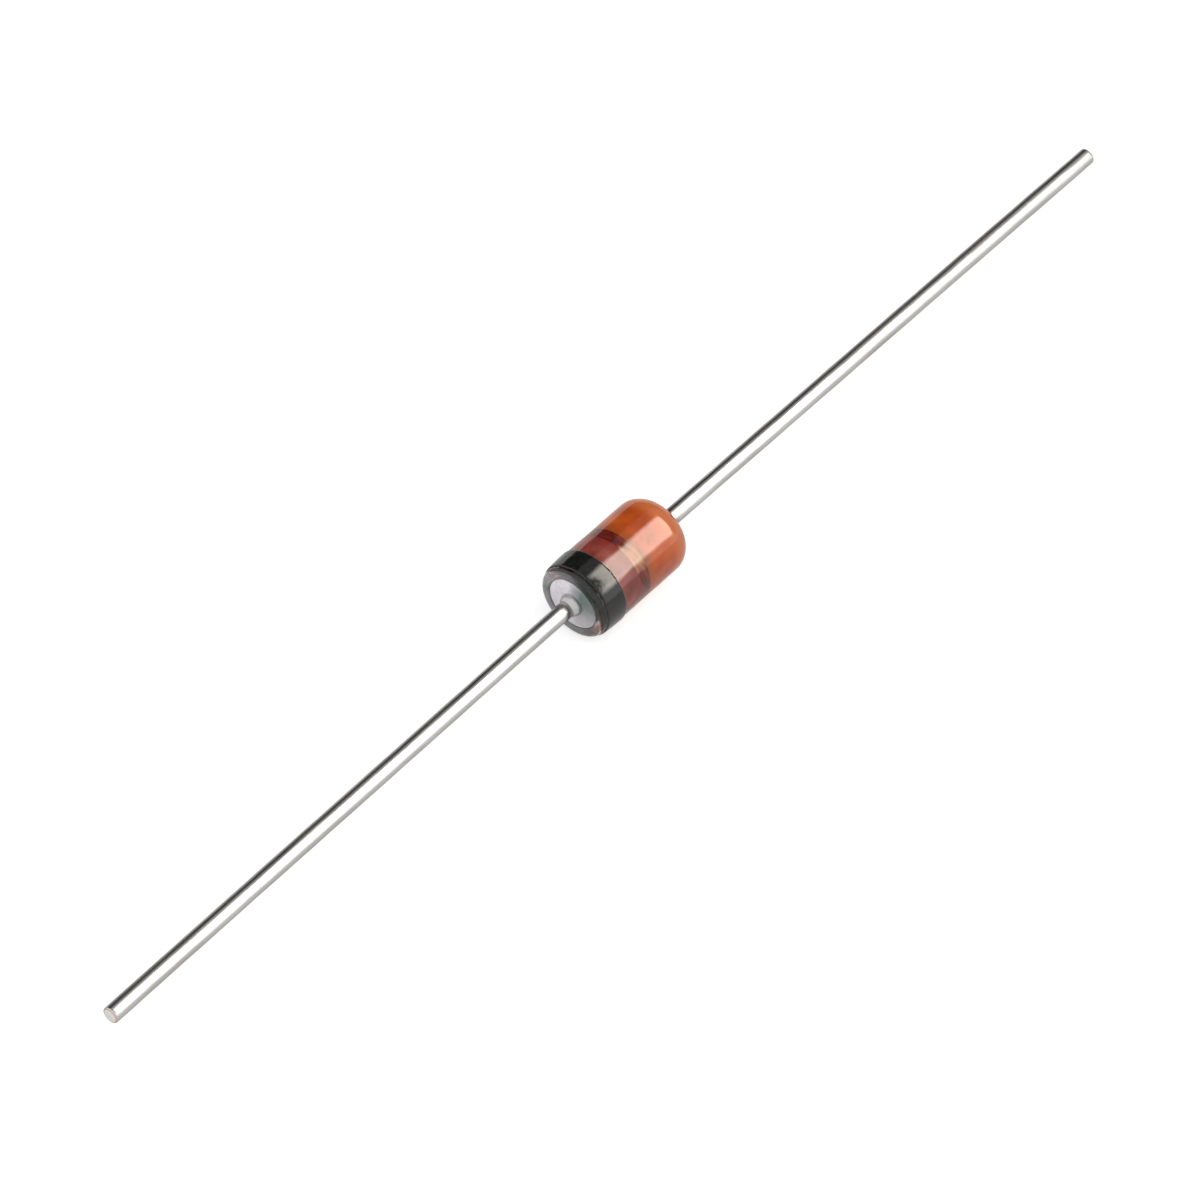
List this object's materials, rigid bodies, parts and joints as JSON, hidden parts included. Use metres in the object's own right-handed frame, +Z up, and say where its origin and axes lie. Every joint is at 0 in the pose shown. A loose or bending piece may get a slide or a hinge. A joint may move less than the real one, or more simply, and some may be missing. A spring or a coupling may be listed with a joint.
{
  "type": "zener diode",
  "caption": "Axial zener diode: a short glass body over two copper-coloured slugs, a black band at the cathode end, and a straight tinned wire lead from each end.",
  "frame": {"origin": "middle of the glass body, on the lead axis", "axes": "X along the lead axis: -X towards the cathode, which has the black band, and +X towards the anode; Z is up as the diode lies on a table"},
  "size_m": [0.0398, 0.0024, 0.0024],
  "materials": {
    "glass": "clear soft glass with fire-polished ends",
    "band_paint": "gloss black marking paint",
    "slug_copper": "copper-clad nickel iron with a red oxide skin, tinned on its outer face",
    "silicon": "sawn silicon with a polished top",
    "solder": "dull reflowed solder",
    "silver": "matt plated silver",
    "tinned_wire": "bright tin over drawn copper-clad steel wire"
  },
  "bodies": {
    "root": {"glass_sleeve": "glass", "cathode_band": "band_paint", "cathode_slug": "slug_copper", "anode_slug": "slug_copper", "zener_chip": "silicon", "chip_solder": "solder", "chip_bump": "silver", "cathode_lead": "tinned_wire", "anode_lead": "tinned_wire"}
  },
  "joints": []
}
